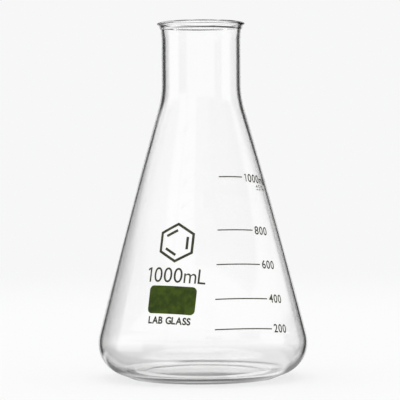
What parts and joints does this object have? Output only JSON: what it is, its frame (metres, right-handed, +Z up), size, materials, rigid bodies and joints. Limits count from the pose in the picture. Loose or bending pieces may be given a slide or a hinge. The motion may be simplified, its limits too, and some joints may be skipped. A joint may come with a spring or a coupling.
{
  "type": "conical laboratory flask",
  "caption": "Clear glass conical flask with a short straight neck, a flared beaded rim, a pushed-up base and dark fired marks: graduation lines with numbers, a sign and a marking panel.",
  "frame": {"origin": "centre of the flat ring that the flask stands on", "axes": "+Z up along the flask's axis; the printed front faces -Y, so the label lies a little to -X of it and the graduations to +X"},
  "size_m": [0.1314, 0.1314, 0.2239],
  "materials": {
    "clear_glass": "clear, fire polished",
    "dark_enamel": "fired enamel, dark grey-brown, satin",
    "green_enamel": "fired enamel, dark olive green, matt to write on"
  },
  "bodies": {
    "root": {"capacity_figure_1": "dark_enamel", "capacity_figure_2": "dark_enamel", "capacity_figure_3": "dark_enamel", "capacity_figure_4": "dark_enamel", "capacity_letter_5": "dark_enamel", "capacity_letter_6": "dark_enamel", "emblem_bar_1": "dark_enamel", "emblem_bar_2": "dark_enamel", "emblem_bar_3": "dark_enamel", "emblem_hexagon": "dark_enamel", "flask_body": "clear_glass", "line_1000": "dark_enamel", "line_200": "dark_enamel", "line_400": "dark_enamel", "line_600": "dark_enamel", "line_800": "dark_enamel", "marking_panel": "green_enamel", "number_1000_figure_1": "dark_enamel", "number_1000_figure_2": "dark_enamel", "number_1000_figure_3": "dark_enamel", "number_1000_figure_4": "dark_enamel", "number_1000_letter_5": "dark_enamel", "number_1000_letter_6": "dark_enamel", "number_200_figure_1": "dark_enamel", "number_200_figure_2": "dark_enamel", "number_200_figure_3": "dark_enamel", "number_400_figure_1": "dark_enamel", "number_400_figure_2": "dark_enamel", "number_400_figure_3": "dark_enamel", "number_600_figure_1": "dark_enamel", "number_600_figure_2": "dark_enamel", "number_600_figure_3": "dark_enamel", "number_800_figure_1": "dark_enamel", "number_800_figure_2": "dark_enamel", "number_800_figure_3": "dark_enamel", "tolerance_figure_1": "dark_enamel", "tolerance_minus": "dark_enamel", "tolerance_plus": "dark_enamel", "tolerance_ring_left": "dark_enamel", "tolerance_ring_right": "dark_enamel", "tolerance_slash": "dark_enamel", "words_letter_1": "dark_enamel", "words_letter_2": "dark_enamel", "words_letter_3": "dark_enamel", "words_letter_4": "dark_enamel", "words_letter_5": "dark_enamel", "words_letter_6": "dark_enamel", "words_letter_7": "dark_enamel", "words_letter_8": "dark_enamel"}
  },
  "joints": []
}
